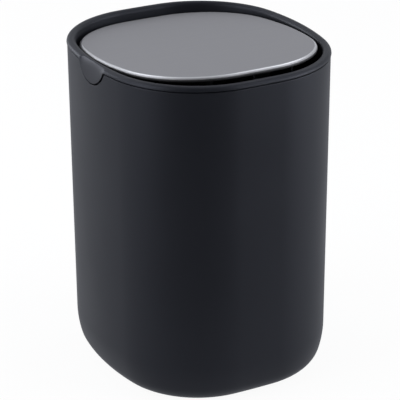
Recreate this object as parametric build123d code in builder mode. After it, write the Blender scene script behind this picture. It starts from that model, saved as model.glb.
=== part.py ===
from build123d import *
from math import asin, atan2, cos, degrees, radians, sin, sqrt, tan
import os

# A free-standing swing-lid bin of about five litres: a moulded bucket, a collar that lifts off it
# by a finger tab, and a balanced lid that swings on two pins in the collar.
# Origin: middle of the footprint, on the floor. +X right, -Y front, +Z up. Millimetres.

# Overall size, measured at the collar: the front of the lid stands a little above it
overall_width = 165.0
overall_depth = 180.0
overall_height = 232.0

# Plan outline: four bulging faces and round corners, all tangent arcs
front_radius = 500.0
side_radius = 190.0
corner_radius = 67.0

# Bucket
collar_proud = 0.4
draft_angle = 0.37
wall = 2.2
knee_radius = 68.0
knee_angle = 15.8
heel_radius = 15.8
ground_clearance = 0.8
floor_recess = 1.2
land_width = 8.0
rim_edge_radius = 0.4

# Anti-slip pads under the bucket
pad_diameter = 16.0
pad_margin = 0.2
pad_fit = 0.2
pad_ring_wall = 1.5
pad_ring_height = 1.0
pad_edge = 0.4

# Collar
shadow_gap = 0.6
shadow_depth = 1.1
collar_side = 0.2
crest_inset = 3.2
crown_thickness = 2.5
lip_wall = 2.3
skirt_depth = 22.0
skirt_wall = 2.0
skirt_fit = 0.4
skirt_rib_height = 1.1
skirt_rib_width = 1.6
rib_share = 0.6

# Finger tab of the collar on the left face, its middle measured from the middle of the face
tab_offset = -3.0
tab_radius = 18.5
tab_depth = 10.7
tab_blend = 2.4

# Lid: drawn level about its pivot axis, and set at the rest tilt by its planes
lid_gap = 2.8
lid_drop = 1.5
rest_tilt = 3.75
pivot_drop = 11.5
panel_thickness = 0.6
roll_inner_radius = 1.6
hem_depth = 3.5
hem_inner_radius = 0.6
hem_width = 2.8
plate_thickness = 2.0
carrier_wall = 1.8
rib_thickness = 1.4
rib_depth = 5.0
rib_end_gap = 0.5
rib_spacing_x = 30.0
rib_spacing_y = 26.0

# Pivot: pins pressed into the lid's lugs, turning in flanged bushes in the collar's bosses
pin_radius = 2.0
pin_running_gap = 0.05
pin_end_gap = 0.5
pin_edge = 0.3
bush_wall = 0.95
bush_length = 7.0
bush_flange_width = 1.2
bush_flange_thickness = 0.8
boss_wall = 1.8
boss_end_wall = 1.2
side_play = 0.3
lug_thickness = 6.0
lug_hub_wall = 2.8
lug_half_width = 8.6

# Swing stops: a bar under each boss meets the shoulders of the lug
swing_limit = 75.0
stop_slack = 2.0
stop_bar_width = 2.4
stop_bar_height = 3.0
stop_bar_clearance = 0.8

# Counterweight under the lid
weight_length = 104.0
weight_width = 18.0
weight_height = 10.0
weight_drop = 10.0
weight_offset = 0.242
weight_edge = 0.8
weight_screw_spacing = 70.0
weight_boss_radius = 4.5
screw_radius = 1.5
screw_hole_gap = 0.2
screw_grip = 8.0
screw_head_radius = 2.8
screw_head_height = 2.0

# Plan arcs: face centres on the axes, and the corner circle that touches both faces from inside
side_centre = overall_width / 2 - side_radius
front_centre = overall_depth / 2 - front_radius
side_reach = side_radius - corner_radius
front_reach = front_radius - corner_radius
centre_distance = sqrt(side_centre**2 + front_centre**2)
along = (side_reach**2 - front_reach**2 + centre_distance**2) / (2 * centre_distance)
across = sqrt(side_reach**2 - along**2)
corner_x = side_centre - (along * side_centre + across * front_centre) / centre_distance
corner_y = (along * front_centre - across * side_centre) / centre_distance
side_turn = degrees(atan2(corner_y, corner_x - side_centre))
front_turn = degrees(atan2(corner_y - front_centre, corner_x))


# A quarter of the plan, from the middle of the right side to the middle of the back: for each
# arc its centre, its radius, the angle where it starts and the angle that it turns through
quarter_arcs = (
    ((side_centre, 0), side_radius, 0, side_turn),
    ((corner_x, corner_y), corner_radius, side_turn, front_turn - side_turn),
    ((0, front_centre), front_radius, front_turn, 90 - front_turn),
)


def plan_face(inset):
    """The whole plan, moved in by an inset, which keeps the centres of its arcs."""
    with BuildSketch() as face:
        with BuildLine():
            for centre, radius, start, turn in quarter_arcs:
                CenterArc(centre, radius - inset, start, turn)
            mirror(about=Plane.XZ)
            mirror(about=Plane.YZ)
        make_face()
    return face.sketch


def carry_round(section, plane):
    """Carry a wall section from the middle of the right side round a quarter of the plan."""
    for centre, radius, start, turn in quarter_arcs:
        axis = Axis(plane.from_local_coords(centre), plane.z_dir)
        revolve(section, axis=axis, revolution_arc=turn)
        section = section.rotate(axis, turn)


def tab_outline(growth):
    """The finger tab from the side, grown by a gap: an arc under a strip, blended into it."""
    strip_bottom = parting_height + shadow_gap - growth
    strip_top = overall_height - crest_inset
    strip_half = tab_radius + 2 * tab_blend
    arc_end = degrees(asin((tab_centre - strip_bottom) / (tab_radius + growth)))
    with BuildSketch() as outline:
        with BuildLine():
            arc = CenterArc(
                (tab_offset, tab_centre),
                tab_radius + growth,
                180 + arc_end,
                180 - 2 * arc_end,
            )
            Polyline(
                arc @ 1,
                (tab_offset + strip_half, strip_bottom),
                (tab_offset + strip_half, strip_top),
                (tab_offset - strip_half, strip_top),
                (tab_offset - strip_half, strip_bottom),
                arc @ 0,
            )
        make_face()
        blend_corners = vertices().group_by(Axis.Y)[-2].sort_by(Axis.X)[1:3]
        fillet(blend_corners, radius=tab_blend - growth)
    return outline.sketch


def at_side(inset, height):
    """A point of a wall section: inset from the right side, at a height."""
    return (overall_width / 2 - inset, height)


def at_lid_side(inset, height):
    """A point of a lid section: inset from the lid's right edge, height from the pivot axis."""
    return (overall_width / 2 - lid_inset - inset, height)


def save(part, name):
    """Label a finished piece and write it to its own file."""
    part.label = name
    export_step(part, f"parts/{name}.step")


os.makedirs("parts", exist_ok=True)

# Heights of the rim of the bucket and of the lip of the collar above it
lip_bottom = overall_height - crest_inset - collar_side
parting_height = lip_bottom - shadow_gap
tab_centre = parting_height - tab_depth + tab_radius

# Bucket wall section: straight drafted wall, then a long knee arc and a tighter heel arc
draft = radians(draft_angle)
knee = radians(knee_angle)
knee_drop = knee_radius * (sin(knee) - sin(draft)) + heel_radius * (1 - sin(knee))
knee_height = ground_clearance + knee_drop
knee_inset = collar_proud + (parting_height - knee_height) * tan(draft)
heel_run = knee_radius * (cos(draft) - cos(knee)) + heel_radius * cos(knee)
heel_inset = knee_inset + heel_run
rim_inner_inset = collar_proud + wall / cos(draft)
floor_height = ground_clearance + floor_recess

# Pads sit in the corners of the recess, inside the land
pad_ring_radius = pad_diameter / 2 + pad_fit + pad_ring_wall
pad_reach = corner_radius - heel_inset - land_width - pad_ring_radius - pad_margin
pad_x = corner_x + pad_reach * cos(radians(45))
pad_y = corner_y + pad_reach * sin(radians(45))

with BuildPart() as bucket:
    with BuildSketch(Plane.XZ, mode=Mode.PRIVATE) as section:
        with BuildLine():
            outer = Line(at_side(collar_proud, parting_height), at_side(knee_inset, knee_height))
            outer_knee = JernArc(outer @ 1, outer % 1, knee_radius, draft_angle - knee_angle)
            outer_heel = JernArc(outer_knee @ 1, outer_knee % 1, heel_radius, knee_angle - 90)
            inner = Line(
                at_side(rim_inner_inset, parting_height),
                at_side(knee_inset + wall * cos(draft), knee_height + wall * sin(draft)),
            )
            inner_knee = JernArc(
                inner @ 1, inner % 1, knee_radius - wall, draft_angle - knee_angle
            )
            inner_heel = JernArc(
                inner_knee @ 1, inner_knee % 1, heel_radius - wall, knee_angle - 90
            )
            Polyline(
                outer_heel @ 1,
                at_side(heel_inset + land_width, ground_clearance),
                at_side(heel_inset + land_width, ground_clearance + wall),
                inner_heel @ 1,
            )
            Line(outer @ 0, inner @ 0)
        make_face()
        outer_rim_corner = vertices().group_by(Axis.Y)[-1].sort_by(Axis.X)[-1]
        fillet(outer_rim_corner, radius=rim_edge_radius)
    carry_round(section.sketch, Plane.XY)
    mirror(about=Plane.XZ)
    mirror(about=Plane.YZ)
    # Floor, raised inside by as much as the underside is recessed
    with BuildSketch(Plane.XY.offset(floor_height)):
        add(plan_face(heel_inset))
    extrude(amount=wall)
    # Rings that locate the pads
    with BuildSketch(Plane.XY.offset(floor_height)):
        with GridLocations(2 * pad_x, 2 * pad_y, 2, 2):
            Circle(pad_ring_radius)
            Circle(pad_diameter / 2 + pad_fit, mode=Mode.SUBTRACT)
    extrude(amount=-pad_ring_height)
    # Notch in the rim for the finger tab
    with BuildSketch(Plane.YZ.offset(-overall_width / 2 - wall)):
        add(tab_outline(shadow_gap))
    extrude(amount=lip_wall + 2 * wall, mode=Mode.SUBTRACT)

save(bucket.part, "bucket")

# Pads: each lies against the floor and stands a little below the bucket
for row, y_side in (("front", -1), ("back", 1)):
    for column, x_side in (("left", -1), ("right", 1)):
        with BuildPart() as foot_pad:
            with BuildSketch(Plane.XY):
                with Locations((x_side * pad_x, y_side * pad_y)):
                    Circle(pad_diameter / 2)
            extrude(amount=floor_height)
            chamfer(edges().group_by(Axis.Z)[0], length=pad_edge)
        save(foot_pad.part, f"foot_pad_{row}_{column}")

# Collar insets: the skirt clears the drafted wall of the bucket, and the lid clears the skirt
skirt_bottom = parting_height - skirt_depth
skirt_rib_inset = rim_inner_inset + skirt_depth * tan(draft) + skirt_fit
skirt_outer_inset = skirt_rib_inset + skirt_rib_height
skirt_inner_inset = skirt_outer_inset + skirt_wall
lid_inset = skirt_inner_inset + lid_gap

# Pivot places along X, from the collar's boss inwards
boss_end = overall_width / 2 - skirt_rib_inset
socket_end = boss_end - boss_end_wall
boss_face = socket_end - bush_length
bush_face = boss_face - bush_flange_thickness
lug_face = bush_face - side_play
lug_inner_face = lug_face - lug_thickness
pin_end = socket_end - pin_end_gap
bush_radius = pin_radius + pin_running_gap + bush_wall
bush_flange_radius = bush_radius + bush_flange_width
boss_radius = bush_radius + boss_wall
lug_hub_radius = pin_radius + lug_hub_wall

# Lid heights above the pivot axis, and where the whole lid stands
roll_radius = roll_inner_radius + panel_thickness
hem_radius = hem_inner_radius + panel_thickness
panel_underside = pivot_drop - panel_thickness
plate_underside = panel_underside - plate_thickness
hem_height = pivot_drop - hem_depth
pivot_height = overall_height - lid_drop - pivot_drop
tilt = radians(rest_tilt)
pivot = (0, 0, pivot_height)
lid_level = Plane(pivot, x_dir=(1, 0, 0), z_dir=(0, sin(tilt), cos(tilt)))
lid_cross = Plane(pivot, x_dir=(1, 0, 0), z_dir=(0, -cos(tilt), sin(tilt)))
lid_length = Plane(pivot, x_dir=(0, cos(tilt), -sin(tilt)), z_dir=(1, 0, 0))

# Stops: the inner corner of a bar meets the shoulder of the lug just past the swing limit
stop_angle = radians(swing_limit + stop_slack)
stop_bar_top = lug_hub_radius + stop_bar_clearance
stop_bar_bottom = stop_bar_top + stop_bar_height
shoulder_height = stop_bar_width / 2 * sin(stop_angle) - stop_bar_top * cos(stop_angle)

with BuildPart() as finger_tab:
    tab_bottom = parting_height - tab_depth
    with BuildSketch(Plane.XY.offset(tab_bottom)):
        add(plan_face(0))
        add(plan_face(lip_wall), mode=Mode.SUBTRACT)
    extrude(amount=overall_height - crest_inset - tab_bottom)
    with BuildSketch(Plane.YZ.offset(-overall_width / 2 - wall)):
        add(tab_outline(0))
    extrude(amount=lip_wall + 2 * wall, mode=Mode.INTERSECT)

with BuildPart() as collar:
    # A rounded bead over the rim, a lip that rests on it behind the shadow gap, and a skirt
    with BuildSketch(Plane.XZ, mode=Mode.PRIVATE) as section:
        with BuildLine():
            crown_start = at_side(0, overall_height - crest_inset)
            outer_crown = JernArc(crown_start, (0, 1), crest_inset, 90)
            inner_crown = JernArc(
                outer_crown @ 1, (-1, 0), skirt_inner_inset - crest_inset, 90
            )
            Polyline(
                inner_crown @ 1,
                at_side(skirt_inner_inset, skirt_bottom),
                at_side(skirt_outer_inset, skirt_bottom),
                at_side(skirt_outer_inset, overall_height - crown_thickness),
                at_side(lip_wall, overall_height - crown_thickness),
                at_side(lip_wall, parting_height),
                at_side(shadow_depth, parting_height),
                at_side(shadow_depth, lip_bottom),
                at_side(0, lip_bottom),
                crown_start,
            )
        make_face()
    carry_round(section.sketch, Plane.XY)
    # Ribs that centre the skirt in the bucket
    with BuildSketch(Plane.XY.offset(skirt_bottom)):
        for centre, radius, start, turn in quarter_arcs:
            with Locations(centre):
                with PolarLocations(radius - skirt_rib_inset, 1, start + rib_share * turn):
                    Rectangle(
                        skirt_rib_height + skirt_wall / 2,
                        skirt_rib_width,
                        align=(Align.MAX, Align.CENTER),
                    )
    extrude(amount=skirt_depth)
    mirror(about=Plane.XZ)
    # Pivot boss, stop bar and blind socket of the right side
    with BuildSketch(Plane.YZ.offset(boss_face)):
        with Locations((0, pivot_height)):
            Circle(boss_radius)
    extrude(amount=boss_end - boss_face)
    with BuildSketch(Plane.XZ.offset(-stop_bar_width / 2)):
        with BuildLine():
            Polyline(
                (lug_inner_face, pivot_height - stop_bar_bottom),
                (lug_inner_face, pivot_height - stop_bar_top),
                (boss_face, pivot_height - stop_bar_top),
                (boss_face, pivot_height - bush_radius),
                (boss_end, pivot_height - bush_radius),
                (boss_end, pivot_height - stop_bar_bottom),
                close=True,
            )
        make_face()
    extrude(amount=stop_bar_width)
    with BuildSketch(Plane.YZ.offset(boss_face)):
        with Locations((0, pivot_height)):
            Circle(bush_radius)
    extrude(amount=bush_length, mode=Mode.SUBTRACT)
    mirror(about=Plane.YZ)
    add(finger_tab.part)

save(collar.part, "collar")

# Bushes, seated in the bosses with their flanges towards the lid
for name, side in (("left", -1), ("right", 1)):
    with BuildPart() as pivot_bush:
        with BuildSketch(Plane.YZ.offset(side * boss_face)):
            with Locations((0, pivot_height)):
                Circle(bush_radius)
        extrude(amount=side * bush_length)
        with BuildSketch(Plane.YZ.offset(side * boss_face)):
            with Locations((0, pivot_height)):
                Circle(bush_flange_radius)
        extrude(amount=-side * bush_flange_thickness)
        with BuildSketch(Plane.YZ.offset(side * bush_face)):
            with Locations((0, pivot_height)):
                Circle(pin_radius + pin_running_gap)
        extrude(amount=side * (bush_length + bush_flange_thickness), mode=Mode.SUBTRACT)
    save(pivot_bush.part, f"pivot_bush_{name}")

# Steel cover: flat top, rolled edge, side wall and a hem turned in under the carrier
with BuildPart() as lid_panel:
    with BuildSketch(lid_cross, mode=Mode.PRIVATE) as section:
        with BuildLine():
            face = Line(
                at_lid_side(0, hem_height + hem_radius),
                at_lid_side(0, pivot_drop - roll_radius),
            )
            roll = JernArc(face @ 1, (0, 1), roll_radius, 90)
            hem = JernArc(face @ 0, (0, -1), hem_radius, -90)
            back = Line(
                at_lid_side(panel_thickness, hem_height + hem_radius),
                at_lid_side(panel_thickness, pivot_drop - roll_radius),
            )
            roll_back = JernArc(back @ 1, (0, 1), roll_inner_radius, 90)
            hem_back = JernArc(back @ 0, (0, -1), hem_inner_radius, -90)
            Polyline(
                roll @ 1,
                at_lid_side(roll_radius + panel_thickness, pivot_drop),
                at_lid_side(roll_radius + panel_thickness, panel_underside),
                roll_back @ 1,
            )
            Polyline(
                hem @ 1,
                at_lid_side(hem_width, hem_height),
                at_lid_side(hem_width, hem_height + panel_thickness),
                hem_back @ 1,
            )
        make_face()
    carry_round(section.sketch, lid_level)
    mirror(about=lid_cross)
    mirror(about=lid_length)
    with BuildSketch(lid_level.offset(panel_underside)):
        add(plan_face(lid_inset + roll_radius))
    extrude(amount=panel_thickness)

save(lid_panel.part, "lid_panel")

# Carrier: plate and wall that fill the cover, ribs, pivot lugs and bosses for the weight
with BuildPart() as lid_carrier:
    with BuildSketch(lid_cross, mode=Mode.PRIVATE) as section:
        with BuildLine():
            wall_inset = panel_thickness + carrier_wall
            plate_inset = roll_radius + carrier_wall
            face = Line(
                at_lid_side(panel_thickness, hem_height + hem_radius),
                at_lid_side(panel_thickness, pivot_drop - roll_radius),
            )
            roll = JernArc(face @ 1, (0, 1), roll_inner_radius, 90)
            hem = JernArc(face @ 0, (0, -1), hem_inner_radius, -90)
            Polyline(
                roll @ 1,
                at_lid_side(plate_inset, panel_underside),
                at_lid_side(plate_inset, plate_underside),
                at_lid_side(wall_inset, plate_underside),
                at_lid_side(wall_inset, hem_height + panel_thickness),
                hem @ 1,
            )
        make_face()
    carry_round(section.sketch, lid_level)
    mirror(about=lid_cross)
    mirror(about=lid_length)
    with BuildSketch(lid_level.offset(plate_underside)):
        add(plan_face(lid_inset + roll_radius))
    extrude(amount=plate_thickness)
    with BuildSketch(lid_level.offset(plate_underside)):
        with GridLocations(rib_spacing_x, 0, 5, 1):
            Rectangle(rib_thickness, overall_depth)
        with GridLocations(0, rib_spacing_y, 1, 4):
            Rectangle(overall_width, rib_thickness)
        add(plan_face(lid_inset + hem_width + rib_end_gap), mode=Mode.INTERSECT)
    extrude(amount=-rib_depth)
    with BuildSketch(lid_length.offset(lug_inner_face)):
        Circle(lug_hub_radius)
        with Locations((0, shoulder_height)):
            Rectangle(
                2 * lug_half_width,
                plate_underside - shoulder_height,
                align=(Align.CENTER, Align.MIN),
            )
    extrude(amount=lug_thickness)
    with BuildSketch(lid_length.offset(lug_inner_face)):
        Circle(pin_radius)
    extrude(amount=lug_thickness, mode=Mode.SUBTRACT)
    mirror(about=lid_length)
    with BuildSketch(lid_level.offset(-weight_drop)):
        with Locations((0, weight_offset)):
            with GridLocations(weight_screw_spacing, 0, 2, 1):
                Circle(weight_boss_radius)
    extrude(amount=weight_drop + plate_underside)
    with BuildSketch(lid_level.offset(-weight_drop)):
        with Locations((0, weight_offset)):
            with GridLocations(weight_screw_spacing, 0, 2, 1):
                Circle(screw_radius)
    extrude(amount=screw_grip, mode=Mode.SUBTRACT)

save(lid_carrier.part, "lid_carrier")

# Pins, pressed into the lugs and free to turn in the bushes
for name, side in (("left", -1), ("right", 1)):
    with BuildPart() as pivot_pin:
        with BuildSketch(lid_length.offset(side * lug_inner_face)):
            Circle(pin_radius)
        extrude(amount=side * (pin_end - lug_inner_face))
        chamfer(edges(), length=pin_edge)
    save(pivot_pin.part, f"pivot_pin_{name}")

with BuildPart() as counterweight:
    with BuildSketch(lid_level.offset(-weight_drop)):
        with Locations((0, weight_offset)):
            Rectangle(weight_length, weight_width)
    extrude(amount=-weight_height)
    chamfer(edges(), length=weight_edge)
    with BuildSketch(lid_level.offset(-weight_drop)):
        with Locations((0, weight_offset)):
            with GridLocations(weight_screw_spacing, 0, 2, 1):
                Circle(screw_radius + screw_hole_gap)
    extrude(amount=-weight_height, mode=Mode.SUBTRACT)

save(counterweight.part, "counterweight")

with BuildPart() as counterweight_screws:
    with BuildSketch(lid_level.offset(-weight_drop - weight_height)):
        with Locations((0, weight_offset)):
            with GridLocations(weight_screw_spacing, 0, 2, 1):
                Circle(screw_head_radius)
    extrude(amount=-screw_head_height)
    with BuildSketch(lid_level.offset(-weight_drop - weight_height)):
        with Locations((0, weight_offset)):
            with GridLocations(weight_screw_spacing, 0, 2, 1):
                Circle(screw_radius)
    extrude(amount=weight_height + screw_grip)

save(counterweight_screws.part, "counterweight_screws")
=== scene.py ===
"""A swing-lid bin of about five litres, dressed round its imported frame.

The bin is a moulded bucket, a collar that lifts off by a finger tab, and a balanced lid faced in
satin steel that swings on two pins. Every length below is in metres once MM has been applied, in
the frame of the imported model: origin at the middle of the footprint, -Y the front, +Z up.
"""

from math import atan2, cos, pi, radians, sin, sqrt, tan

import bmesh
import bpy
import numpy as np
from bpy.props import FloatProperty, FloatVectorProperty, PointerProperty
from mathutils import Matrix, Vector


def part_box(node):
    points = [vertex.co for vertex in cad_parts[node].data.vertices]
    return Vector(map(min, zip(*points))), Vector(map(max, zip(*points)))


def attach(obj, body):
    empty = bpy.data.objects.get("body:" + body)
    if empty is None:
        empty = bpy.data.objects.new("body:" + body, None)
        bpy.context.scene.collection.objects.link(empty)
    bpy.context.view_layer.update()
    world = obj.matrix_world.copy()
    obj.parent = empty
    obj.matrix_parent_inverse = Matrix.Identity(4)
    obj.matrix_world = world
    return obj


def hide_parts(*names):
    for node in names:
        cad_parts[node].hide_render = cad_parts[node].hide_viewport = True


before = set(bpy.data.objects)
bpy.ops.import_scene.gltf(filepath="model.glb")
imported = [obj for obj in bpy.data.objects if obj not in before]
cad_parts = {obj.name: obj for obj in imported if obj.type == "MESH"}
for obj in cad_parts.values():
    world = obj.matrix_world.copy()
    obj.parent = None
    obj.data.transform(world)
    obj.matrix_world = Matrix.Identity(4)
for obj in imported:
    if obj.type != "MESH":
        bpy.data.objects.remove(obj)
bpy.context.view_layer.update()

bl_info = {
    "name": "Swing-lid bin",
    "version": (1, 0, 0),
    "blender": (4, 5, 0),
    "location": "3D View > Sidebar > Bin",
    "description": "Dresses the packed frame of a small swing-lid bin",
    "category": "Add Mesh",
}

MM = 0.001
# Points nearer to each other than this are one point
DOUBLED = 0.002 * MM
# Edges sharper than this many degrees stay crisp
CRISP = 35
# Radius of the pivot pins in millimetres
PIN_RADIUS = 2
# Profiles of a foot pad and of the ring that locates it, as radius and height in millimetres
PAD_PROFILE = (
    ((0, 2), (8, 2), (8, 0.4), (7.6, 0), (6.6, 0), (6.4, 0.4), (5.8, 0.4), (5.6, 0))
    + ((4, 0), (3.8, 0.4), (3.2, 0.4), (3, 0), (0, 0))
)
PAD_RING = ((8.2, 2.2), (8.2, 1.2), (8.4, 1), (9.5, 1), (9.7, 1.2), (9.7, 2.2))
PADS = ("front_left", "front_right", "back_left", "back_right")
# The Mix node's sockets for colours, which share their names with its other sockets
COLOUR_A, COLOUR_B, MIXED = 6, 7, 2


# Settings


def colour(code):
    """Linear red, green, blue and alpha of an sRGB hex code such as "8e8f90"."""
    encoded = np.array([int(code[i : i + 2], 16) for i in (0, 2, 4)]) / 255
    linear = np.where(encoded <= 0.04045, encoded / 12.92, ((encoded + 0.055) / 1.055) ** 2.4)
    return (*linear.tolist(), 1.0)


def length(name, millimetres, description):
    """A property that holds a length, with its default given in millimetres."""
    return FloatProperty(
        name=name, description=description, default=millimetres * MM, precision=4, unit="LENGTH"
    )


def degrees(name, value, description):
    """A property that holds an angle, with its default given in degrees."""
    return FloatProperty(
        name=name, description=description, default=radians(value), subtype="ANGLE"
    )


def low(node, axis):
    """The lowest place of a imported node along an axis, in millimetres."""
    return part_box(node)[0][axis] / MM


def high(node, axis):
    """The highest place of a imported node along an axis, in millimetres."""
    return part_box(node)[1][axis] / MM


def tint(name, code, description):
    """A property that holds a colour, with its default given as an sRGB hex code."""
    return FloatVectorProperty(
        name=name,
        description=description,
        default=colour(code),
        size=4,
        min=0,
        max=1,
        subtype="COLOR",
    )


class BinPlanSizes(bpy.types.PropertyGroup):
    """The plan that every ring of the bin follows, and the finger tab"""

    width: length("Width", 165, "Across the collar, from the left face to the right face")
    depth: length("Depth", 180, "Across the collar, from the front face to the back face")
    front_radius: length("Front bulge", 500, "Radius of the front and back faces in plan")
    side_radius: length("Side bulge", 190, "Radius of the left and right faces in plan")
    corner_radius: length("Corner", 67, "Radius of the four corners in plan")
    tab_offset: length("Tab offset", -3, "Middle of the finger tab, from the face's middle")
    tab_radius: length("Tab radius", 18.5, "Radius of the finger tab's arc")
    tab_depth: length("Tab depth", 10.7, "Depth of the finger tab below the rim of the bucket")
    tab_blend: length("Tab blend", 2.4, "Radius that blends the tab into the lip")
    tab_gap: length("Tab gap", 1.2, "Width of the dark line round the finger tab")
    tab_reach: length("Tab reach", 24.5, "How far from its middle the tab draws the crest down")


class BinBucketSizes(bpy.types.PropertyGroup):
    """Sizes of the bucket"""

    parting: length("Parting height", high("bucket", 2), "Height of the rim under the collar")
    set_back: length("Set back", 0.4, "How far the rim stands inside the collar's face")
    draft: degrees("Draft", 0.37, "Taper of the wall, which lets the moulding leave its mould")
    wall: length("Wall", 2.2, "Thickness of the wall")
    knee_radius: length("Knee", 68, "Radius of the long curve below the wall")
    knee: degrees("Knee angle", 15.8, "Slope at which the knee passes into the heel")
    heel_radius: length("Heel", 15.8, "Radius of the curve above the land")
    clearance: length("Clearance", 0.8, "Height of the land above what the bin stands on")
    recess: length("Recess", 1.2, "Depth of the recess inside the land")
    land: length("Land", 8, "Width of the land round the underside")
    rim_edge: length("Rim edge", 0.3, "Radius of the rim's outer edge")


class BinCollarSizes(bpy.types.PropertyGroup):
    """Sizes of the collar"""

    top: length("Top", high("collar", 2), "Height of the crest")
    crest: length("Crest", 3.2, "Radius of the crest's outer half")
    tab_crest: length("Crest at the tab", 15, "Height of the crest's outer half over the tab")
    crown: length("Crown", 2.5, "Thickness of the moulding over the rim")
    lip_wall: length("Lip wall", 2.3, "Thickness of the lip outside the rim")
    gap: length("Shadow gap", 0.9, "Height of the dark line between collar and bucket")
    gap_depth: length("Gap depth", 1.7, "Depth of the dark line")
    skirt_bottom: length("Skirt bottom", low("collar", 2), "Height of the skirt's lower edge")
    rib_face: length("Rib face", 3.1421, "Inset of the ribs that centre the skirt")
    rib_height: length("Rib height", 1.1, "How far the ribs stand out of the skirt")
    skirt_wall: length("Skirt wall", 2, "Thickness of the skirt")
    lip_edge: length("Lip edge", 0.15, "Radius of the lip's and the tab's lower edge")


class BinLidSizes(bpy.types.PropertyGroup):
    """Sizes of the lid and its pivot"""

    pivot: length("Pivot height", high("pivot_pin_right", 2) - PIN_RADIUS, "Height of the axis")
    gap: length("Lid gap", 2.8, "Gap between the lid and the collar")
    tilt: degrees("Rest tilt", 3.75, "How far the lid rests off level, with its front edge up")
    top: length("Top", 11.5, "Height of the steel above the pivot")
    sheet: length("Sheet", 0.6, "Thickness of the steel")
    roll: length("Roll", 2.2, "Radius of the rolled edge")
    hem_bottom: length("Hem bottom", 8, "Height of the hem above the pivot")
    hem_radius: length("Hem radius", 1.2, "Radius of the turn into the hem")
    hem_width: length("Hem width", 2.8, "Width of the steel turned in under the carrier")
    boss_radius: length("Boss", 4.8, "Radius of the bosses of the collar")
    bush_radius: length("Bush", 3, "Radius of the bushes' bodies")
    bush_bore: length("Bore", 2.05, "Radius of the bushes' bores")
    flange_radius: length("Flange", 4.2, "Radius of the bushes' flanges")
    flange: length("Flange thickness", 0.8, "Thickness of the bushes' flanges")
    bush_start: length("Bush start", low("pivot_bush_right", 0), "Where the bushes start")
    bush_end: length("Bush end", high("pivot_bush_right", 0), "Where the bushes end")
    pin_radius: length("Pin", PIN_RADIUS, "Radius of the pins")
    pin_start: length("Pin start", low("pivot_pin_right", 0), "Where the pins start")
    pin_end: length("Pin end", high("pivot_pin_right", 0), "Where the pins end")


class BinFinish(bpy.types.PropertyGroup):
    """Colours of the finishes"""

    shell: tint("Shell", "121317", "Moulded plastic of the bucket and the collar")
    steel: tint("Steel", "949394", "Brushed steel of the lid")
    # Lighter colour for a band of the rolled edge: a painted highlight over the edge's real polish
    polish_and_painted_highlight: tint("Burnished steel", "cacaca", "Rolled edge of the lid")
    # Painted shade: a dark, non-metal colour that darkens the steel side of the lid below the roll
    painted_shade_side: tint("Lacquer", "0c0c0e", "Lacquered side of the lid")
    carrier: tint("Carrier", "141416", "Moulded plastic under the lid")
    rubber: tint("Rubber", "19191b", "Foot pads")
    acetal: tint("Acetal", "e2dfd4", "Bushes")
    pin: tint("Pins", "a6a7a9", "Turned pins")
    zinc: tint("Zinc", "a9abad", "Zinc plating of the counterweight and its screws")
    floor: tint("Floor", "ffffff", "Floor and background")


class BinStudio(bpy.types.PropertyGroup):
    """Camera and light"""

    azimuth: degrees("Azimuth", -28.239, "Where the camera stands, turned from the front")
    elevation: degrees("Elevation", 22.986, "How far the camera looks down")
    roll: degrees("Roll", -0.329, "How far the camera leans")
    distance: length("Distance", 1401.7, "From the camera to the point that it looks at")
    look_height: length("Look height", 117.2, "Height of the point that the camera looks at")
    lens: FloatProperty(
        name="Lens", description="Focal length on a sensor 36 mm wide", default=180.565
    )
    light: tint("Light", "f4f7ff", "Colour of the lamps and of what gloss reflects")
    ambient: FloatProperty(
        name="Ambient", description="Strength of the light from all round", default=0.35, min=0
    )
    lamps: FloatProperty(
        name="Lamps", description="Brightness of the soft boxes' faces", default=5.0, min=0
    )


# Grids and meshes


def plan_stations(plan, spacing=1.6 * MM, tab_spacing=0.4 * MM, fine_reach=24 * MM):
    """The places round the plan that every ring of points shares.

    The plan is twelve tangent arcs, three to a quarter: a side, a corner and half of the front or
    back. A place is the centre of its arc, the arc's radius and the outward direction, so a point
    at an inset d is centre + (radius - d) * direction. The left face has closer places, for the
    finger tab. Returns an array with a row each for centre x, centre y, radius, direction x and
    direction y, going anticlockwise from the middle of the right face.
    """
    side_centre = plan.width / 2 - plan.side_radius
    front_centre = plan.depth / 2 - plan.front_radius
    side_reach = plan.side_radius - plan.corner_radius
    front_reach = plan.front_radius - plan.corner_radius
    between = sqrt(side_centre**2 + front_centre**2)
    along = (side_reach**2 - front_reach**2 + between**2) / (2 * between)
    across = sqrt(side_reach**2 - along**2)
    corner_x = side_centre - (along * side_centre + across * front_centre) / between
    corner_y = (along * front_centre - across * side_centre) / between
    side_turn = atan2(corner_y, corner_x - side_centre)
    front_turn = atan2(corner_y - front_centre, corner_x)

    def arc(x, y, radius, angles):
        rows = x, y, radius, np.cos(angles), np.sin(angles)
        return np.array([np.broadcast_to(row, angles.shape) for row in rows])

    # Rough lengths of the arcs, which only set how many places each of them gets
    side_run, beyond_tab, front_run = 36 * MM, 12 * MM, 21 * MM

    def quarter(side_angles):
        corner = np.arange(side_turn, front_turn, spacing / plan.corner_radius)[1:]
        front = np.linspace(front_turn, pi / 2, round(front_run / spacing))
        arcs = (
            arc(side_centre, 0, plan.side_radius, side_angles),
            arc(corner_x, corner_y, plan.corner_radius, corner),
            arc(0, front_centre, plan.front_radius, front),
        )
        return np.concatenate(arcs, axis=1)

    tab_angle = fine_reach / plan.side_radius
    plain = quarter(np.linspace(0, side_turn, round(side_run / spacing)))
    close = np.arange(0, tab_angle, tab_spacing / plan.side_radius)
    wide = np.linspace(tab_angle, side_turn, round(beyond_tab / spacing))
    fine = quarter(np.concatenate((close, wide)))
    flip_x = np.array([[-1], [1], [1], [-1], [1]])
    flip_y = np.array([[1], [-1], [1], [1], [-1]])
    back_left = (fine * flip_x)[:, -2::-1]
    front_left = (fine * flip_x * flip_y)[:, 1:]
    front_right = (plain * flip_y)[:, -2:0:-1]
    return np.concatenate((plain, back_left, front_left, front_right), axis=1)


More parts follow.
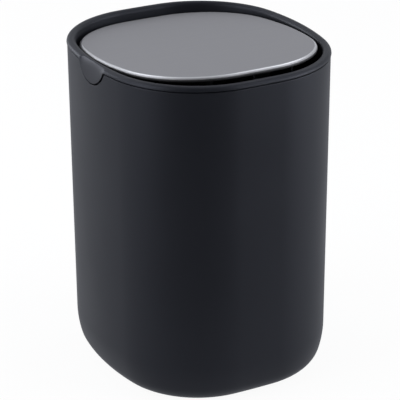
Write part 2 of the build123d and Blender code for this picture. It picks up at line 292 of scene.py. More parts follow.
def carry_round(stations, inset, height):
    """A profile carried round the plan: row i, column j is the point at inset i and height i over
    place j, centre + (radius - inset) * direction. Inset and height may differ from place to
    place, as two-dimensional arrays."""
    inset = np.asarray(inset, float).reshape(len(inset), -1)
    height = np.asarray(height, float).reshape(len(height), -1)
    centre_x, centre_y, radius, out_x, out_y = stations
    reach = radius - inset
    x = centre_x + reach * out_x
    y = centre_y + reach * out_y
    return np.stack((x, y, np.broadcast_to(height, x.shape)), axis=-1)


def shrink(ring, shares, height):
    """A ring of points shrunk to its middle: each row is the ring's x and y times a share, all at
    one height. A share of 0 closes it in a point."""
    flat = ring[:, :2] * np.asarray(shares, float)[:, None, None]
    return np.concatenate((flat, np.full((*flat.shape[:2], 1), height)), axis=-1)


def turned(profile, centre, axis, columns=64):
    """A profile of (radius, distance along the axis) pairs turned about an axis through a centre:
    centre + distance * axis + radius * (cos a * side + sin a * up), for a round the circle."""
    radius, along = np.array(profile, float).T[:, :, None, None]
    axis = np.array(axis, float)
    side = np.array((0, 1, 0)) if abs(axis[0]) > 0.5 else np.array((1, 0, 0))
    up = np.cross(axis, side)
    angle = np.linspace(0, 2 * pi, columns, endpoint=False)[None, :, None]
    return np.array(centre) + along * axis + radius * (np.cos(angle) * side + np.sin(angle) * up)


def fillet(centre, radius, start, end, steps=6):
    """Points of an arc in a profile, from one angle in degrees to another."""
    angle = np.radians(np.linspace(start, end, steps + 1))
    return np.stack((centre[0] + radius * np.cos(angle), centre[1] + radius * np.sin(angle)), -1)


def grid_shell(grid, loop=False):
    """Points and faces of a grid whose columns join in a ring. With loop, its last row joins its
    first, and without it the first and last rows are single points. The faces point outwards: the
    shell's signed volume, the sum of a . (b x c) / 6 over its triangles, is made positive."""
    if loop:
        grid = np.concatenate((grid, grid[:1]))
    rows, columns = grid.shape[:2]
    index = np.arange(rows * columns).reshape(rows, columns)
    after = np.roll(index, -1, axis=1)
    faces = np.stack((index[:-1], after[:-1], after[1:], index[1:]), -1).reshape(-1, 4)
    points = grid.reshape(-1, 3)
    a, b, c, d = (points[faces[:, i]] for i in range(4))
    volume = np.sum(a * np.cross(b, c)) + np.sum(a * np.cross(c, d))
    return points, faces if volume > 0 else faces[:, ::-1]


def plate_shell(outline, half, x, y, out_x, out_y):
    """Points and faces of an upright plate, half to each side of its middle. A point of its
    outline, (u, v), lies u from the place (x, y) along the level direction out, at height v. The
    outline goes anticlockwise, so that the faces point outwards."""
    count = len(outline)
    u, v = np.tile(np.array(outline, float), (2, 1)).T
    w = np.repeat((-half, half), count)
    points = np.stack((x + u * out_x + w * out_y, y + u * out_y - w * out_x, v), -1)
    index = np.arange(count)
    after = np.roll(index, -1)
    sides = np.stack((index, after, after + count, index + count), -1).tolist()
    return points, sides + [index[::-1].tolist(), (index + count).tolist()]


def make_piece(name, shells, body, material, replaced):
    """One finished piece from its shells. Doubled points are merged, which closes poles and
    seams, and sharp edges stay crisp."""
    points = np.concatenate([shell[0] for shell in shells])
    faces = []
    start = 0
    for shell_points, shell_faces in shells:
        faces += [[start + i for i in face] for face in np.asarray(shell_faces, object).tolist()]
        start += len(shell_points)
    mesh = bpy.data.meshes.new(name)
    mesh.from_pydata(points.tolist(), [], faces)
    merged = bmesh.new()
    merged.from_mesh(mesh)
    bmesh.ops.remove_doubles(merged, verts=merged.verts, dist=DOUBLED)
    merged.to_mesh(mesh)
    merged.free()
    mesh.polygons.foreach_set("use_smooth", np.ones(len(mesh.polygons), bool))
    mesh.set_sharp_from_angle(angle=radians(CRISP))
    mesh.materials.append(material)
    piece = bpy.data.objects.new(name, mesh)
    bpy.context.scene.collection.objects.link(piece)
    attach(piece, body)
    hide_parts(*replaced)


def tab_edge(stations, plan, parting, lip, growth):
    """Height of the lower edge of the lip round the plan, for the finger tab.

    On the left face, at less than y_b from the tab's middle, the edge is the arc
    centre - sqrt(R^2 - y^2), with R the tab's radius plus the growth. From there to y_c it is the
    blend, a circle of radius b that touches both the arc and the lip from below, and beyond y_c
    it is the lip. The growth is the gap for the bucket's notch and 0 for the tab itself.
    """
    centre_x, centre_y, radius, out_x, out_y = stations
    across = np.abs(centre_y + radius * out_y - plan.tab_offset)
    centre = parting - plan.tab_depth + plan.tab_radius
    big = plan.tab_radius + growth
    blend = plan.tab_blend - growth
    reach = sqrt((big + blend) ** 2 - (centre - lip + blend) ** 2)
    touch = reach * big / (big + blend)
    arc = centre - np.sqrt(np.maximum(big**2 - across**2, 0))
    curve = lip - blend + np.sqrt(np.maximum(blend**2 - (across - reach) ** 2, 0))
    edge = np.where(across < touch, arc, np.where(across < reach, curve, lip))
    return np.where(centre_x + radius * out_x < 0, edge, lip)


def tab_pull(stations, plan):
    """How strongly the finger tab draws the crest down into its own face: (1 - (y / reach)^2)^2
    at y from the tab's middle on the left face, and 0 elsewhere."""
    centre_x, centre_y, radius, out_x, out_y = stations
    share = (centre_y + radius * out_y - plan.tab_offset) / plan.tab_reach
    pull = np.maximum(1 - share**2, 0) ** 2
    return np.where(centre_x + radius * out_x < 0, pull, 0)


# Materials


def add_node(tree, kind, inputs=None, **settings):
    """Adds a node, sets its properties, and fills its inputs with values or with other sockets."""
    node = tree.nodes.new(kind)
    for name, value in settings.items():
        setattr(node, name, value)
    for name, value in (inputs or {}).items():
        if isinstance(value, bpy.types.NodeSocket):
            tree.links.new(value, node.inputs[name])
        else:
            node.inputs[name].default_value = value
    return node


def empty_tree(owner):
    """The node tree of a material or world, with nothing in it."""
    owner.use_nodes = True
    owner.node_tree.nodes.clear()
    return owner.node_tree


def start_material(name):
    """A new material, its empty node tree and its Object coordinates."""
    material = bpy.data.materials.new(name)
    tree = empty_tree(material)
    place = add_node(tree, "ShaderNodeTexCoord").outputs["Object"]
    return material, tree, place


def finish_material(tree, inputs, relief, strength, depth):
    """Adds the surface shader with its inputs and a bump, which follows the relief with a strength
    and to a depth in millimetres, and joins it to the output."""
    bump = {"Height": relief, "Strength": strength, "Distance": depth * MM}
    inputs["Normal"] = add_node(tree, "ShaderNodeBump", bump).outputs["Normal"]
    shader = add_node(tree, "ShaderNodeBsdfPrincipled", inputs)
    add_node(tree, "ShaderNodeOutputMaterial", {"Surface": shader.outputs["BSDF"]})


def vary_colour(tree, noise, base, contrast):
    """A colour that a noise moves between the base made darker and made lighter by a contrast."""
    dark, light = ((*(share * c for c in base[:3]), 1) for share in (1 - contrast, 1 + contrast))
    inputs = {"Factor": noise, COLOUR_A: dark, COLOUR_B: light}
    return add_node(tree, "ShaderNodeMix", inputs, data_type="RGBA").outputs[MIXED]


def vary_gloss(tree, noise, roughness, spread):
    """A roughness that a noise, most of whose values lie from 0.3 to 0.7, moves up and down by a
    spread."""
    ends = {"To Min": roughness - spread, "To Max": roughness + spread}
    inputs = {"Value": noise, "From Min": 0.3, "From Max": 0.7, **ends}
    return add_node(tree, "ShaderNodeMapRange", inputs).outputs["Result"]


def moulded_polypropylene(name, base, roughness, grain=0.5):
    """Polypropylene moulded in a spark-eroded mould: an even, dry matt that lifts to a soft sheen
    at grazing angles, with slow drifts of gloss where the melt flowed. The grain is in
    millimetres."""
    material, tree, place = start_material(name)
    # The real texture is about 0.15 mm; it is drawn at the grain's size so that it shows
    noise = {"Vector": place, "Scale": 1 / (grain * MM), "Detail": 2.0}
    texture = add_node(tree, "ShaderNodeTexNoise", noise).outputs["Fac"]
    # The drifts are about 70 mm across
    noise = {"Vector": place, "Scale": 14.0, "Detail": 3.0}
    drift = add_node(tree, "ShaderNodeTexNoise", noise).outputs["Fac"]
    # The texture breaks the gloss up, so the IOR is matched below the 1.49 of polypropylene, and
    # the gloss of the dark plastic has a slightly blue cast
    inputs = {
        "Base Color": vary_colour(tree, drift, base, contrast=0.06),
        "Roughness": vary_gloss(tree, drift, roughness, spread=0.03),
        "IOR": 1.35,
        "Specular Tint": colour("edf1ff"),
    }
    finish_material(tree, inputs, texture, strength=0.25, depth=0.05)
    return material


def brushed_steel(name, base, roughness, lines=0.35, run=30.0, shoulder=None):
    """Satin stainless steel brushed with a belt: long fine lines all one way, which vary the
    gloss a little, so reflections smear across them. Lines and run are their width and length in
    millimetres. With shoulder, a direction, a level along it and two colours, the sheet just below
    that level is polished to a lower roughness and given a lighter colour as a painted highlight,
    and its side lower down is painted shade, a dark colour that is not metal, so that it reads
    dark under the bright line."""
    material, tree, place = start_material(name)
    # Belt lines are about 0.05 mm apart; they are drawn wider so that they show
    scale = (1 / (run * MM), 1 / (lines * MM), 1 / (run * MM))
    drawn = add_node(tree, "ShaderNodeMapping", {"Vector": place, "Scale": scale}).outputs[0]
    noise = {"Vector": drawn, "Scale": 1.0, "Detail": 3.0}
    streaks = add_node(tree, "ShaderNodeTexNoise", noise).outputs["Fac"]
    gloss = vary_gloss(tree, streaks, roughness, spread=0.05)
    tone = vary_colour(tree, streaks, base, contrast=0.05)
    unshaded_steel = 1.0
    if shoulder:
        direction, level, painted_highlight_tint, painted_shade_side = shoulder
        height = add_node(
            tree, "ShaderNodeVectorMath", {0: place, 1: direction}, operation="DOT_PRODUCT"
        ).outputs["Value"]

        def rise(bottom, top):
            """From 0 to 1 between two depths under the level, in millimetres."""
            ends = {"From Min": level - bottom * MM, "From Max": level - top * MM}
            return add_node(tree, "ShaderNodeMapRange", {"Value": height, **ends}).outputs[0]

        # Polished, with a painted highlight in a lighter colour, from just under the flat to about
        # 0.7 mm, and painted shade, dark and not metal, from about 1.4 mm
        unshaded_steel = rise(1.6, 1.2)
        polish_and_painted_highlight = add_node(
            tree, "ShaderNodeMath", {0: rise(1.0, 0.4), 1: rise(0.08, 0.01)}, operation="SUBTRACT"
        ).outputs[0]
        polished = 0.28
        inputs = {"Value": polish_and_painted_highlight, "To Min": gloss, "To Max": polished}
        gloss = add_node(tree, "ShaderNodeMapRange", inputs).outputs[0]
        inputs = {"Factor": polish_and_painted_highlight, COLOUR_A: tone, COLOUR_B: painted_highlight_tint}
        tone = add_node(tree, "ShaderNodeMix", inputs, data_type="RGBA").outputs[MIXED]
        inputs = {"Factor": unshaded_steel, COLOUR_A: painted_shade_side, COLOUR_B: tone}
        tone = add_node(tree, "ShaderNodeMix", inputs, data_type="RGBA").outputs[MIXED]
    inputs = {"Base Color": tone, "Metallic": unshaded_steel, "Roughness": gloss}
    finish_material(tree, inputs, streaks, strength=0.12, depth=0.02)
    return material


def speckled(name, base, roughness, grain, depth, contrast, metallic=0, ior=1.5):
    """A plain finish with a fine grain: its colour, gloss and surface all vary with one noise of
    the grain's size, by a contrast and to a depth. Grain and depth are in millimetres. A metal
    keeps the shader's own IOR, 1.5."""
    material, tree, place = start_material(name)
    noise = {"Vector": place, "Scale": 1 / (grain * MM), "Detail": 3.0}
    texture = add_node(tree, "ShaderNodeTexNoise", noise).outputs["Fac"]
    inputs = {
        "Base Color": vary_colour(tree, texture, base, contrast),
        "Metallic": metallic,
        "Roughness": vary_gloss(tree, texture, roughness, spread=0.06),
        "IOR": ior,
    }
    finish_material(tree, inputs, texture, strength=0.3, depth=depth)
    return material


def dress(node, material):
    """Gives a CAD node that keeps its shape a better material."""
    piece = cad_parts[node]
    piece.data.materials.clear()
    piece.data.materials.append(material)


# Operators


class BIN_OT_stage(bpy.types.Operator):
    """Lay the floor, light it and stand the camera where the photograph was taken"""

    bl_idname = "bin.stage"
    bl_label = "Stage"

    def execute(self, context):
        scene = context.scene
        studio = scene.bin_studio
        white = scene.bin_finish.floor

        # Floor: white to the camera, bright to gloss, and still darkened by the bin's shadow,
        # because the share of it that doesn't glow is matt
        mesh = bpy.data.meshes.new("floor")
        half, glowing = 4.0, 0.93
        corners = [(-half, -half, 0), (half, -half, 0), (half, half, 0), (-half, half, 0)]
        mesh.from_pydata(corners, [], [(0, 1, 2, 3)])
        floor = bpy.data.objects.new("floor", mesh)
        scene.collection.objects.link(floor)
        material, tree, place = start_material("white studio floor")
        seen, glow = self.white_surroundings(tree, place, start=0.03, stop=0.38, dimmest=0.15)
        matt = add_node(tree, "ShaderNodeBsdfDiffuse", {"Color": white})
        hue = self.cool_gloss(tree, white, studio.light)
        glow = add_node(tree, "ShaderNodeEmission", {"Color": hue, "Strength": glow})
        share = add_node(tree, "ShaderNodeMath", {0: seen, 1: glowing}, operation="MULTIPLY")
        inputs = {0: share.outputs[0], 1: matt.outputs[0], 2: glow.outputs[0]}
        surface = add_node(tree, "ShaderNodeMixShader", inputs)
        add_node(tree, "ShaderNodeOutputMaterial", {"Surface": surface.outputs[0]})
        mesh.materials.append(material)

        # World: white to the camera, bright to gloss, and an even light for the rest
        scene.world = bpy.data.worlds.new("studio")
        tree = empty_tree(scene.world)
        place = add_node(tree, "ShaderNodeTexCoord").outputs["Generated"]
        seen, glow = self.white_surroundings(tree, place, start=-0.1, stop=0.6, dimmest=0.05)
        inputs = {"Value": seen, "To Min": studio.ambient, "To Max": glow}
        strength = add_node(tree, "ShaderNodeMapRange", inputs).outputs["Result"]
        hue = self.cool_gloss(tree, white, studio.light)
        light = add_node(tree, "ShaderNodeBackground", {"Color": hue, "Strength": strength})
        add_node(tree, "ShaderNodeOutputWorld", {"Surface": light.outputs[0]})

        # Seven soft boxes round the bin: low and high at each side, one at the far left and two
        # high at the back. Azimuth and elevation in degrees, width and height in metres, and the
        # brightness of the face as a share of the setting
        distance = 1.4
        for name, azimuth, elevation, wide, tall, share in (
            ("left", -88, 8, 0.8, 0.5, 1.2),
            ("right", 50, 8, 1.2, 0.5, 1.4),
            ("high_left", -95, 40, 0.9, 0.6, 0.8),
            ("far_left", -150, 14, 0.7, 0.6, 0.9),
            ("high_right", 48, 40, 1.0, 0.6, 0.5),
            ("back_left", -172, 50, 0.5, 0.5, 0.4),
            ("back_right", 118, 50, 0.5, 0.5, 0.4),
        ):
            lamp = bpy.data.lights.new(f"soft_box_{name}", "AREA")
            lamp.shape = "RECTANGLE"
            lamp.size = wide
            lamp.size_y = tall
            lamp.energy = share * studio.lamps * pi * wide * tall
            lamp.color = studio.light[:3]
            light = bpy.data.objects.new(lamp.name, lamp)
            scene.collection.objects.link(light)
            back = self.towards(radians(azimuth), radians(elevation))
            light.location = back * distance + Vector((0, 0, studio.look_height))
            light.rotation_euler = back.to_track_quat("Z", "Y").to_euler()

        # Camera, shifted as the photograph is framed, in pixels of its 400
        camera = bpy.data.cameras.new("camera")
        camera.sensor_width = 36
        camera.lens = studio.lens
        camera.shift_x, camera.shift_y = 1.371 / 400, -2.875 / 400
        camera.clip_end = 20
        eye = bpy.data.objects.new("camera", camera)
        scene.collection.objects.link(eye)
        back = self.towards(studio.azimuth, studio.elevation)
        target = Vector((0, 0, studio.look_height))
        turn = back.to_track_quat("Z", "Y").to_matrix() @ Matrix.Rotation(studio.roll, 3, "Z")
        eye.matrix_world = Matrix.Translation(target + back * studio.distance) @ turn.to_4x4()
        scene.camera = eye
        scene.view_settings.view_transform = "Standard"
        return {"FINISHED"}

    def towards(self, azimuth, elevation):
        """Direction from the bin, turned from the front to the right and raised."""
        level = cos(elevation)
        return Vector((sin(azimuth) * level, -cos(azimuth) * level, sin(elevation)))

    def cool_gloss(self, tree, white, light):
        """White to the camera, and the colour of the light to gloss."""
        gloss = add_node(tree, "ShaderNodeLightPath").outputs["Is Glossy Ray"]
        inputs = {"Factor": gloss, COLOUR_A: white, COLOUR_B: light}
        return add_node(tree, "ShaderNodeMix", inputs, data_type="RGBA").outputs[MIXED]

    def white_surroundings(self, tree, place, start, stop, dimmest):
        """Whether a ray shows the surroundings white, and how bright they are to it at a place.

        To the camera and through glass they are at 1. To gloss they are at 0.7 behind and beside
        the bin, and in front of it they fade to the dimmest, between a start and a stop along the
        level direction in which the photographer stood, as in a studio whose far end is dark.
        """
        beside = 0.7
        path = add_node(tree, "ShaderNodeLightPath").outputs
        gloss = seen = path["Is Glossy Ray"]
        for ray in (path["Is Camera Ray"], path["Is Transmission Ray"]):
            either = add_node(tree, "ShaderNodeMath", {0: seen, 1: ray}, operation="MAXIMUM")
            seen = either.outputs[0]
        ahead = self.towards(bpy.context.scene.bin_studio.azimuth, 0)
        forward = add_node(
            tree, "ShaderNodeVectorMath", {0: place, 1: ahead}, operation="DOT_PRODUCT"
        )
        inputs = {"Value": forward.outputs["Value"], "From Min": start, "From Max": stop}
        inputs.update({"To Min": beside - 1, "To Max": dimmest - 1})
        fade = add_node(tree, "ShaderNodeMapRange", inputs, interpolation_type="SMOOTHSTEP")
        inputs = {0: gloss, 1: fade.outputs["Result"], 2: 1.0}
        glow = add_node(tree, "ShaderNodeMath", inputs, operation="MULTIPLY_ADD")
        return seen, glow.outputs[0]


class BIN_OT_bucket(bpy.types.Operator):
    """Mould the bucket: drafted wall, knee, heel, land and recessed floor, with the tab's notch"""

    bl_idname = "bin.bucket"
    bl_label = "Bucket"

    def execute(self, context):
        scene = context.scene
        plan, size = scene.bin_plan, scene.bin_bucket
        stations = plan_stations(plan)
        drop = size.parting - tab_edge(stations, plan, size.parting, size.parting, plan.tab_gap)

        # The outer curve of the wall in (inset, height): knee and heel, tangent to each other
        slope = tan(size.draft)
        knee_drop = size.knee_radius * (sin(size.knee) - sin(size.draft))
        heel_drop = size.heel_radius * (1 - sin(size.knee))
        knee_top = size.clearance + knee_drop + heel_drop
        knee_inset = size.set_back + (size.parting - knee_top) * slope
        knee_centre = (
            knee_inset + size.knee_radius * cos(size.draft),
            knee_top + size.knee_radius * sin(size.draft),
        )
        heel_centre = (
            knee_centre[0] - (size.knee_radius - size.heel_radius) * cos(size.knee),
            knee_centre[1] - (size.knee_radius - size.heel_radius) * sin(size.knee),
        )
        upright, turn = 180 + np.degrees(size.draft), 180 + np.degrees(size.knee)

        def wall_curves(inward):
            knee = fillet(knee_centre, size.knee_radius - inward, upright, turn, 10)
            heel = fillet(heel_centre, size.heel_radius - inward, turn, 270, 14)
            return np.concatenate((knee, heel[1:]))

        # Rows from the middle of the inside, up and over the rim, and down to the underside. The
        # rim's rows follow the notch, and those of the wall share its drop out down to calm
        outer = wall_curves(0)
        inner = wall_curves(size.wall)[::-1]
        calm = size.parting - 24 * MM
        levels = np.linspace(calm, size.parting - 1.2 * MM, 7)
        inner_rim = size.set_back + size.wall / cos(size.draft)
        edge, inner_edge = size.rim_edge, 0.2 * MM
        rim = np.concatenate(
            (
                fillet((inner_rim - inner_edge, size.parting - inner_edge), inner_edge, 0, 90, 3),
                fillet((size.set_back + edge, size.parting - edge), edge, 90, 180, 5),
            )
        )
        taper = (size.parting - levels) * slope
        inside = np.stack((inner_rim + taper, levels), -1)
        outside = np.stack((size.set_back + taper, levels), -1)[::-1]
        rim_rows = np.concatenate((inside, rim, outside))
        follow = np.clip((rim_rows[:, 1] - calm) / (levels[-1] - calm), 0, 1)
        floor_bottom = size.clearance + size.recess
        floor_top = floor_bottom + size.wall
        underside_inset = outer[-1][0] + size.land
        rows = np.concatenate((inner, rim_rows, outer))
        share = np.concatenate((np.zeros(len(inner)), follow, np.zeros(len(outer))))[:, None]
        height = rows[:, 1:] - share * drop
        inset = rows[:, :1] + share * drop * slope
        wall = carry_round(stations, inset, height)
        # The land's inner edge is bevelled, and the wall of the recess has a draft
        bevel, draw = 0.5 * MM, 0.3 * MM
        land = carry_round(
            stations,
            [underside_inset - bevel, underside_inset, underside_inset + draw],
            [size.clearance, size.clearance + draw, floor_bottom],
        )
        # Inside, the heel runs out a little below the floor, which meets it in a soft line
        inside_rows = wall[: len(inner)][:, :, 2] > floor_top
        first = int(np.argmax(inside_rows[:, 0]))
        shares = np.linspace(0, 1, 12)
        floor_in = shrink(wall[first], shares, floor_top)
        under = shrink(land[-1], shares[-2::-1], floor_bottom)
        shells = [grid_shell(np.concatenate((floor_in, wall[first:], land, under)))]

        # Rings that locate the foot pads
        ring = np.array(PAD_RING) * MM
        for corner in PADS:
            centre = middle(f"foot_pad_{corner}")
            shells.append(grid_shell(turned(ring, centre, (0, 0, 1)), loop=True))
        plastic = shell_plastic(scene)
        make_piece("moulded_bucket", shells, "bucket", plastic, ["bucket"])
        return {"FINISHED"}


class BIN_OT_foot_pads(bpy.types.Operator):
    """Press the four rubber foot pads, with two grooves round each"""

    bl_idname = "bin.foot_pads"
    bl_label = "Foot pads"

    def execute(self, context):
        # Rubber pressed in a dull mould: nearly black, soft and dry, with a dusty grain
        rubber = context.scene.bin_finish.rubber
        dusty = {"roughness": 0.8, "grain": 0.8, "depth": 0.05, "contrast": 0.12}
        material = speckled("pressed rubber", rubber, **dusty)
        profile = np.array(PAD_PROFILE) * MM
        for corner in PADS:
            node = f"foot_pad_{corner}"
            shells = [grid_shell(turned(profile, middle(node), (0, 0, 1)))]
            make_piece(f"rubber_pad_{corner}", shells, "bucket", material, [node])
        return {"FINISHED"}


class BIN_OT_collar(bpy.types.Operator):
    """Mould the collar: crest, lip with its finger tab, skirt, ribs, bosses and stop bars"""

    bl_idname = "bin.collar"
    bl_label = "Collar"

    def execute(self, context):
        scene = context.scene
        plan, size, lid = scene.bin_plan, scene.bin_collar, scene.bin_lid
        stations = plan_stations(plan)
        parting = scene.bin_bucket.parting
        tab = tab_edge(stations, plan, parting, parting + size.gap, 0)
        edge = size.lip_edge

        # Rows of the profile, up the face, round the crest, down the inside and under the lip
        crest = fillet((size.crest, size.top - size.crest), size.crest, 180, 90, 12)
        skirt_outer = size.rib_face + size.rib_height
        skirt_inner = skirt_outer + size.skirt_wall
        inner_radius = skirt_inner - size.crest
        shoulder = fillet((size.crest, size.top - inner_radius), inner_radius, 90, 0, 8)
        lip = fillet((edge, edge), edge, 270, 180, 3)
        under_crown = size.top - size.crown
        pull = tab_pull(stations, plan)
        # The drawn-down crest stays clear of the lip's edge
        clear = 0.05 * MM
        deep = np.minimum(
            size.crest + (size.tab_crest - size.crest) * pull, size.top - tab - edge - clear
        )
        start = tab + edge
        rise = size.top - deep - start
        rows = [(0, start + share * rise) for share in (0.15, 0.4, 0.65, 0.9)]
        # Plain crest: a quarter circle. Over the tab: a parabola, so that its face leans back
        for inset, height in crest:
            share = (size.top - height) / size.crest
            lean = size.crest * (1 - sqrt(max(share, 0)))
            rows.append((inset + (lean - inset) * pull, size.top - share * deep))
        rows += list(shoulder[1:])
        # The skirt, whose lower edges are bevelled, with a row a little below the parting line
        bevel, below, foot = 0.4 * MM, parting - 2 * MM, size.skirt_bottom
        rows += [
            (skirt_inner, below),
            (skirt_inner, foot + bevel),
            (skirt_inner - bevel, foot),
            (skirt_outer + bevel, foot),
            (skirt_outer, foot + bevel),
            (skirt_outer, below),
            (skirt_outer, under_crown),
            (size.lip_wall, under_crown),
            (size.lip_wall, np.minimum(tab, parting)),
            (size.gap_depth, np.minimum(tab, parting)),
            (size.gap_depth, tab),
        ]
        rows += [(inset, tab + height) for inset, height in lip]
        everywhere = np.zeros(stations.shape[1])
        inset, height = (np.array([everywhere + row[i] for row in rows]) for i in (0, 1))
        shells = [grid_shell(carry_round(stations, inset, height), loop=True)]

        # Ribs that centre the skirt in the bucket, three to a quarter, sunk into the skirt. Their
        # feet slope, which leads them in
        half, sunk = 0.8 * MM, 1 * MM
        toe, slope_width, slope_height = 0.2 * MM, 0.6 * MM, 1.5 * MM
        for x, y, out_x, out_y, reach in self.rib_places(stations):
            outer, inner = reach - size.rib_face, reach - skirt_inner + sunk
            outline = [
                (inner, foot + toe),
                (outer - slope_width, foot),
                (outer, foot + slope_height),
                (outer, parting),
                (inner, parting),
            ]
            shells.append(plate_shell(outline, half, x, y, out_x, out_y))

        # Pivot bosses with blind sockets, and the stop bars under them, which reach up into the
        # bosses but not into their sockets
        pivot = lid.pivot
        boss_face = lid.bush_start + lid.flange
        boss_end = plan.width / 2 - size.rib_face
        bevel = 0.3 * MM
        bar_half, bar_low, bar_top = 1.2 * MM, pivot - 8.6 * MM, pivot - 5.6 * MM
        bar_high = pivot - lid.bush_radius - 0.5 * MM
        boss = [
            (0, lid.bush_end),
            (lid.bush_radius, lid.bush_end),
            (lid.bush_radius, boss_face),
            (lid.boss_radius - bevel, boss_face),
            (lid.boss_radius, boss_face + bevel),
            (lid.boss_radius, boss_end),
            (0, boss_end),
        ]
        bar = [
            (lid.pin_start, bar_low),
            (boss_end, bar_low),
            (boss_end, bar_high),
            (boss_face, bar_high),
            (boss_face, bar_top),
            (lid.pin_start, bar_top),
        ]
        for side in (-1, 1):
            shells.append(grid_shell(turned(boss, (0, 0, pivot), (side, 0, 0))))
            shells.append(plate_shell(bar, bar_half, 0, 0, side, 0))
        plastic = shell_plastic(scene)
        make_piece("moulded_collar", shells, "collar", plastic, ["collar"])
        return {"FINISHED"}

    def rib_places(self, stations):
        """Centre, direction and radius of the plan where each rib stands: a share of the way
        along each arc of a quarter, mirrored to the other quarters."""
        share = 0.6
        centre_x, centre_y, radius, out_x, out_y = stations
        angle = np.arctan2(out_y, out_x)
        first = (angle >= 0) & (angle <= pi / 2) & (centre_x + radius * out_x > 0)
        places = []
        for arc in np.unique(radius[first]):
            here = first & (radius == arc)
            first_turn, last_turn = angle[here].min(), angle[here].max()
            turn = first_turn + share * (last_turn - first_turn)
            x, y = centre_x[here][0], centre_y[here][0]
            for flip_x, flip_y in ((-1, -1), (-1, 1), (1, -1), (1, 1)):
                out = (flip_x * cos(turn), flip_y * sin(turn))
                places.append((flip_x * x, flip_y * y, *out, arc))
        return places


class BIN_OT_lid_panel(bpy.types.Operator):
    """Press the steel of the lid: flat top, rolled edge, short side and turned-in hem"""

    bl_idname = "bin.lid_panel"
    bl_label = "Lid panel"

    def execute(self, context):
        scene = context.scene
        plan, size = scene.bin_plan, scene.bin_lid
        stations = plan_stations(plan, tab_spacing=1.6 * MM)
        sheet = size.sheet
        underside = size.top - sheet
        roll_centre = (size.roll, size.top - size.roll)
        hem_centre = (size.hem_radius, size.hem_bottom + size.hem_radius)
        # Two rows beside the roll keep the shading of the flat even there
        beside, beyond = size.roll + 0.5 * MM, size.roll + 3 * MM
        profile = np.concatenate(
            (
                [(beyond, size.top), (beside, size.top)],
                fillet(roll_centre, size.roll, 90, 180, 12),
                fillet(hem_centre, size.hem_radius, 180, 270, 6),
                [(size.hem_width, size.hem_bottom), (size.hem_width, size.hem_bottom + sheet)],
                fillet(hem_centre, size.hem_radius - sheet, 270, 180, 4),
                fillet(roll_centre, size.roll - sheet, 180, 90, 6),
                [(beyond, underside)],
            )
        )
        collar = scene.bin_collar
        inset = collar.rib_face + collar.rib_height + collar.skirt_wall + size.gap
        rim = carry_round(stations, profile[:, 0] + inset, profile[:, 1])
        shares = np.linspace(0, 1, 14)[:-1]
        top = shrink(rim[0], shares, size.top)
        bottom = shrink(rim[-1], shares[::-1], underside)
        grid = lid_place(np.concatenate((top, rim, bottom)), size)
        up = (0, sin(size.tilt), cos(size.tilt))
        level = size.pivot * up[2] + size.top
        finish = scene.bin_finish
        name = "satin brushed stainless steel"
        # The band's lighter colour is a painted highlight and the side's dark colour is painted
        # shade
        shoulder = (up, level, finish.polish_and_painted_highlight, finish.painted_shade_side)
        steel = brushed_steel(name, finish.steel, roughness=0.62, shoulder=shoulder)
        shells = [grid_shell(grid)]
        make_piece("pressed_lid_panel", shells, "lid", steel, ["lid_panel"])
        return {"FINISHED"}


class BIN_OT_lid_carrier(bpy.types.Operator):
    """Dress the ribbed moulding under the steel"""

    bl_idname = "bin.lid_carrier"
    bl_label = "Lid carrier"

    def execute(self, context):
        # A smoother mould than the shell's: black, with a little more gloss and a coarser grain
        name, tone = "moulded polypropylene, black", context.scene.bin_finish.carrier
        dress("lid_carrier", moulded_polypropylene(name, tone, roughness=0.42, grain=0.8))
        return {"FINISHED"}


class BIN_OT_pivots(bpy.types.Operator):
    """Turn the two pivot pins and mould the two flanged bushes"""

    bl_idname = "bin.pivots"
    bl_label = "Pins and bushes"

    def execute(self, context):
        scene = context.scene
        size, finish = scene.bin_lid, scene.bin_finish
        # Acetal straight from the mould: milky white, waxy and fairly glossy
        waxy = {"roughness": 0.3, "grain": 2.0, "depth": 0.01, "contrast": 0.02, "ior": 1.48}
        acetal = speckled("moulded natural acetal", finish.acetal, **waxy)
        # Stainless pins turned on a lathe: bright, with rings too fine to see
        painted_highlight_tint = {"roughness": 0.25, "grain": 0.4, "depth": 0.01, "contrast": 0.05, "metallic": 1}
        turned_steel = speckled("turned stainless steel", finish.pin, **painted_highlight_tint)
        centre = (0, 0, size.pivot)
        face = size.bush_start + size.flange
        bevel, pin_bevel = 0.15 * MM, 0.3 * MM
        bush = [
            (size.bush_bore, size.bush_start),
            (size.flange_radius - bevel, size.bush_start),
            (size.flange_radius, size.bush_start + bevel),
            (size.flange_radius, face),
            (size.bush_radius, face),
            (size.bush_radius, size.bush_end),
            (size.bush_bore, size.bush_end),
        ]
        pin = [
            (0, size.pin_start),
            (size.pin_radius - pin_bevel, size.pin_start),
            (size.pin_radius, size.pin_start + pin_bevel),
            (size.pin_radius, size.pin_end - pin_bevel),
            (size.pin_radius - pin_bevel, size.pin_end),
            (0, size.pin_end),
        ]
        for name, side in (("left", -1), ("right", 1)):
            shells = [grid_shell(turned(bush, centre, (side, 0, 0)), loop=True)]
            node = f"pivot_bush_{name}"
            make_piece(f"flanged_bush_{name}", shells, "collar", acetal, [node])
            shells = [grid_shell(turned(pin, centre, (side, 0, 0), columns=48))]
            node = f"pivot_pin_{name}"
            make_piece(f"turned_pin_{name}", shells, "lid", turned_steel, [node])
        return {"FINISHED"}


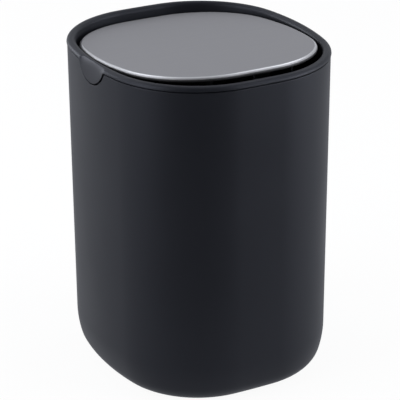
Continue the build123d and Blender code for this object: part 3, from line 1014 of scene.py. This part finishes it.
class BIN_OT_counterweight(bpy.types.Operator):
    """Dress the steel bar under the lid and the two screws that hold it"""

    bl_idname = "bin.counterweight"
    bl_label = "Counterweight"

    def execute(self, context):
        finish = context.scene.bin_finish
        # Cold drawn bar under zinc: pale, with coarser lines along it than the lid's
        name = "cold drawn steel, zinc plated"
        bar = brushed_steel(name, finish.zinc, roughness=0.38, lines=0.6, run=60.0)
        dress("counterweight", bar)
        # Zinc plate on small screws: pale, a little cloudy
        cloudy = {"roughness": 0.35, "grain": 0.6, "depth": 0.01, "contrast": 0.08, "metallic": 1}
        zinc = speckled("zinc plated steel", finish.zinc, **cloudy)
        dress("counterweight_screws", zinc)
        return {"FINISHED"}


def middle(node):
    """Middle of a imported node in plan, at the height of the floor."""
    (x0, y0, _), (x1, y1, _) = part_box(node)
    return (x0 + x1) / 2, (y0 + y1) / 2, 0


def shell_plastic(scene):
    """The one plastic of the bucket and the collar, made when the first of them needs it."""
    name = "moulded polypropylene, anthracite"
    found = bpy.data.materials.get(name)
    return found or moulded_polypropylene(name, scene.bin_finish.shell, roughness=0.45)


def lid_place(grid, size):
    """Points of the level lid about its axis, turned by the rest tilt about X and raised to the
    pivot: y' = y cos t + z sin t and z' = pivot - y sin t + z cos t."""
    x, y, z = np.moveaxis(grid, -1, 0)
    c, s = cos(size.tilt), sin(size.tilt)
    return np.stack((x, y * c + z * s, size.pivot - y * s + z * c), -1)


STEPS = "stage bucket foot_pads collar lid_panel lid_carrier pivots counterweight".split()


class BIN_PT_builder(bpy.types.Panel):
    """Lists the pieces of the bin"""

    bl_idname = "BIN_PT_builder"
    bl_label = "Swing-lid bin"
    bl_space_type = "VIEW_3D"
    bl_region_type = "UI"
    bl_category = "Bin"

    def draw(self, context):
        for step in STEPS:
            self.layout.operator(f"bin.{step}")
        for group in GROUPS:
            settings = getattr(context.scene, group)
            box = self.layout.box()
            for name in settings.__annotations__:
                box.prop(settings, name)


GROUPS = {
    "bin_plan": BinPlanSizes,
    "bin_bucket": BinBucketSizes,
    "bin_collar": BinCollarSizes,
    "bin_lid": BinLidSizes,
    "bin_finish": BinFinish,
    "bin_studio": BinStudio,
}
CLASSES = (
    *GROUPS.values(),
    BIN_OT_stage,
    BIN_OT_bucket,
    BIN_OT_foot_pads,
    BIN_OT_collar,
    BIN_OT_lid_panel,
    BIN_OT_lid_carrier,
    BIN_OT_pivots,
    BIN_OT_counterweight,
    BIN_PT_builder,
)


def register():
    for kind in CLASSES:
        bpy.utils.register_class(kind)
    for name, group in GROUPS.items():
        setattr(bpy.types.Scene, name, PointerProperty(type=group))


def unregister():
    for name in GROUPS:
        delattr(bpy.types.Scene, name)
    for kind in reversed(CLASSES):
        bpy.utils.unregister_class(kind)


def main():
    register()
    for step in STEPS:
        getattr(bpy.ops.bin, step)()


if __name__ == "__main__":
    main()
